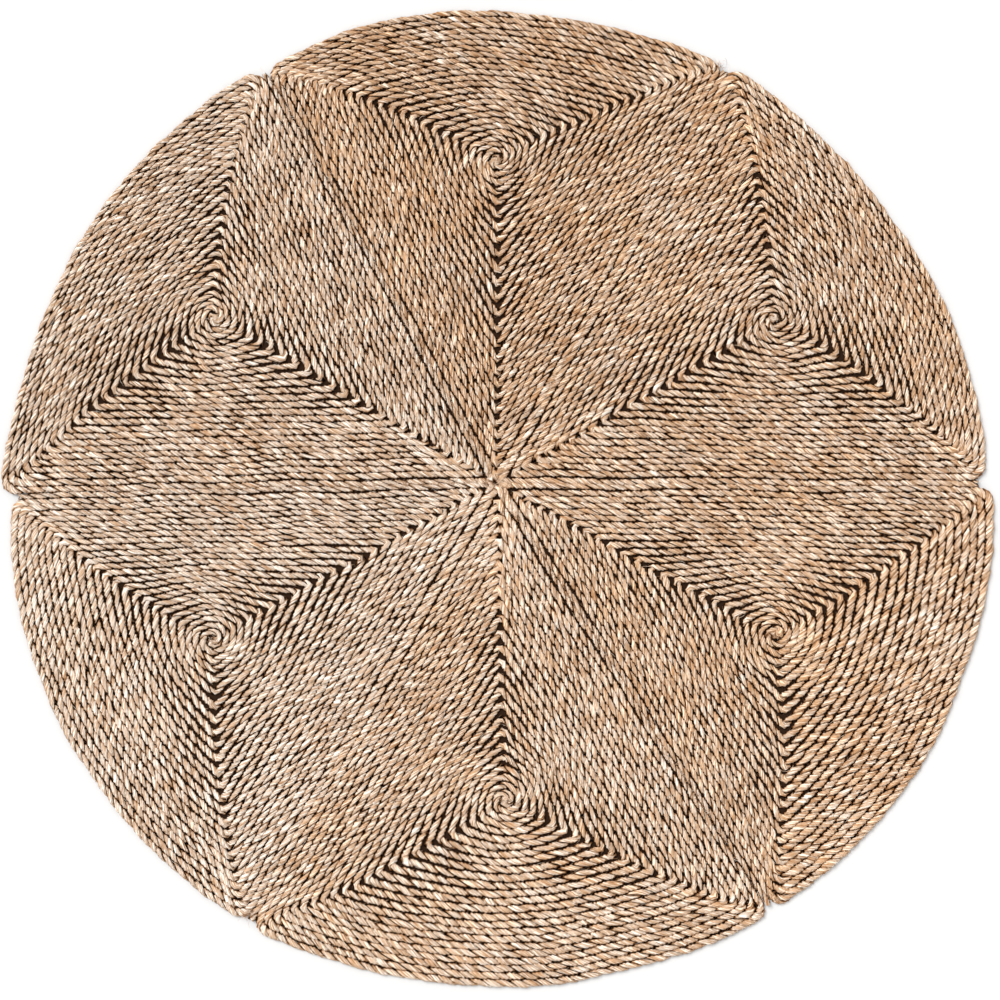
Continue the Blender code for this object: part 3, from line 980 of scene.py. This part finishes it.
# %% The stray fibre tree
def make_fibre_tree():
    t = GeometryTree("stray fibres", fibre_inputs)
    given = t.given

    def chance(draw, least, most):
        feeds = {2: least, 3: most, "Seed": t.number("ADD", given["Seed"], draw)}
        return t.add("FunctionNodeRandomValue", feeds, data_type="FLOAT").outputs[1]

    # Points along the line, each moved and turned by chance and given its own tone.
    line = t.add("GeometryNodeMeshToCurve", {0: given["Geometry"]}).outputs[0]
    spots = t.add("GeometryNodeCurveToPoints", {"Curve": line, "Length": given["Spacing"]},
                  mode="LENGTH")
    tangent = t.parts(spots.outputs["Tangent"])
    heading = t.number("ARCTAN2", tangent[1], tangent[0])
    heading = t.number("MULTIPLY_ADD", chance(1, -1.0, 1.0), given["Turn"], heading)
    aside = t.scaled(t.xyz(chance(2, -1.0, 1.0), chance(3, -1.0, 1.0)), given["Scatter"])
    lifted = t.vector("ADD", aside, t.xyz(z=given["Height"]))
    points = t.add("GeometryNodeSetPosition",
                   {"Geometry": spots.outputs["Points"], "Offset": lifted}).outputs[0]
    tone = t.xyz(chance(4, given["Darkest"], given["Palest"]), chance(5, *FIBRE_RUDDY))
    points = t.store(points, "tone", tone, "FLOAT_VECTOR")

    # One arched curve a metre long, made as long, bent and high as each fibre by its scale.
    arch = t.add("GeometryNodeCurveQuadraticBezier",
                 {"Resolution": FIBRE_PARTS, "Start": (-0.5, 0.0, -0.5), "Middle": (0.0, 1.0, 1.0),
                  "End": (0.5, 0.0, -0.5)}).outputs[0]
    length = t.number("MULTIPLY", given["Length"], chance(6, *FIBRE_LENGTHS))
    size = t.xyz(length, t.number("MULTIPLY", length, chance(7, *FIBRE_BENDS)), given["Arch"])
    turned = t.add("FunctionNodeEulerToRotation", {0: t.xyz(z=heading)}).outputs[0]
    curves = t.add("GeometryNodeInstanceOnPoints", {"Points": points, "Instance": arch,
                                                    "Rotation": turned, "Scale": size}).outputs[0]
    curves = t.add("GeometryNodeRealizeInstances", {0: curves}).outputs[0]

    # The body of a fibre, thinner towards its ends.
    profile = t.add("GeometryNodeCurvePrimitiveCircle",
                    {"Resolution": FIBRE_SIDES, "Radius": given["Thickness"]}).outputs[0]
    share = t.add("GeometryNodeSplineParameter").outputs["Factor"]
    from_middle = t.number("ABSOLUTE", t.number("MULTIPLY_ADD", share, 2.0, -1.0))
    taper = t.number("MULTIPLY_ADD", from_middle, -FIBRE_TAPER, 1.0)
    mesh = t.add("GeometryNodeCurveToMesh", {"Curve": curves, "Profile Curve": profile,
                                             "Scale": taper, "Fill Caps": True}).outputs[0]
    place = t.add("GeometryNodeInputPosition").outputs[0]
    mesh = t.store(mesh, "fibre", t.scaled(place, FIBRE_STREAKS), "FLOAT_VECTOR")
    # outward 1 keeps the finish's painted crease shade off the fibres.
    mesh = t.store(mesh, "outward", 1.0)
    t.finish(mesh)
    return t


fibre_tree = make_fibre_tree()
print(len(fibre_tree.tree.nodes), "nodes in the fibre tree")

# %% Scatter the fibres
# Where a rope ends or was knotted, a tuft stands out: its place, in metres.
TUFTS = [
    (0.000, 0.023),         # the hub
    (-0.296, 0.005),        # a knot on the left seam
    (-0.738, 0.043),        # rope ends at the rim
    (0.337, 0.658),
    (0.689, 0.046),
    (-0.381, -0.632),
    (0.418, -0.603),
]
TUFT_LENGTH = 0.016
SEAM_FRAYED = (0.02, 0.97)  # shares of a seam between which its fibres stand out


def line_object(name, chains):
    """Chains of points as one object made of edges."""
    mesh = bpy.data.meshes.new(name)
    corners = [(place.x, place.y, 0.0) for chain in chains for place in chain]
    edges = []
    for chain in chains:
        first = edges[-1][1] + 1 if edges else 0
        edges += [(first + k, first + k + 1) for k in range(len(chain) - 1)]
    mesh.from_pydata(corners, edges, [])
    line = bpy.data.objects.new(name, mesh)
    bpy.context.scene.collection.objects.link(line)
    return line


def scatter(name, chains, **values):
    line = line_object(name + "_lines", chains)
    fibres = fibre_tree.made_mesh(name, line, {"Material": jute} | values)
    bpy.data.objects.remove(line)
    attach(fibres, "root")
    print(name, len(fibres.data.polygons), "faces")


rope_lines = [[v.co.xy for v in path.data.vertices] for path in paths.values()]
seam_lines = [[hub + polar(share * wedge.rim_radius(wedge.start, 1.0), wedge.start)
               for share in SEAM_FRAYED] for wedge in wedges]
eyes = [hub + polar(panel.eye_reach, math.radians(panel.eye)) for panel in PANELS]
half_tuft = Vector((TUFT_LENGTH / 2, 0.0))
tuft_lines, eye_lines = ([[Vector(spot) - half_tuft, Vector(spot) + half_tuft] for spot in spots]
                         for spots in (TUFTS, eyes))
gaping_lines = [line for wedge, line in zip(wedges, seam_lines) if wedge.panel.full < FULLNESS]
scatter("stray_fibres", rope_lines, Seed=10)
scatter("seam_fibres", seam_lines, Seed=20, Spacing=0.008, Scatter=0.004, Height=0.0082,
        Length=0.009, Turn=1.6, Darkest=-1.6, Palest=0.6)
scatter("gaping_seam_fibres", gaping_lines, Seed=40, Spacing=0.0022, Scatter=0.0045, Height=0.0086,
        Length=0.009, Turn=1.6, Thickness=0.00034, Darkest=-1.6, Palest=0.1)
scatter("tuft_fibres", tuft_lines, Seed=30, Spacing=0.0008, Scatter=0.006, Height=0.0084,
        Length=0.012, Turn=1.6, Arch=0.0024, Darkest=-1.8, Palest=0.4)
scatter("eye_fibres", eye_lines, Seed=50, Spacing=0.0012, Scatter=0.004, Height=0.0088,
        Length=0.009, Turn=1.6, Darkest=-1.4, Palest=0.8)
for path in paths.values():
    bpy.data.objects.remove(path)

# %% [markdown]
# ## Last sizes
#
# The dressed rug is meant to fill the same box as the frame's solids. Both boxes are printed.

# %% Print the sizes and finish
dressed_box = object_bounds()
sizes = {"frame": [list(corner) for corner in frame_box],
         "dressed": [list(corner) for corner in dressed_box]}
for name, (lowest, highest) in sizes.items():
    print(name, [round(v * 1000, 1) for v in lowest], [round(v * 1000, 1) for v in highest], "mm")
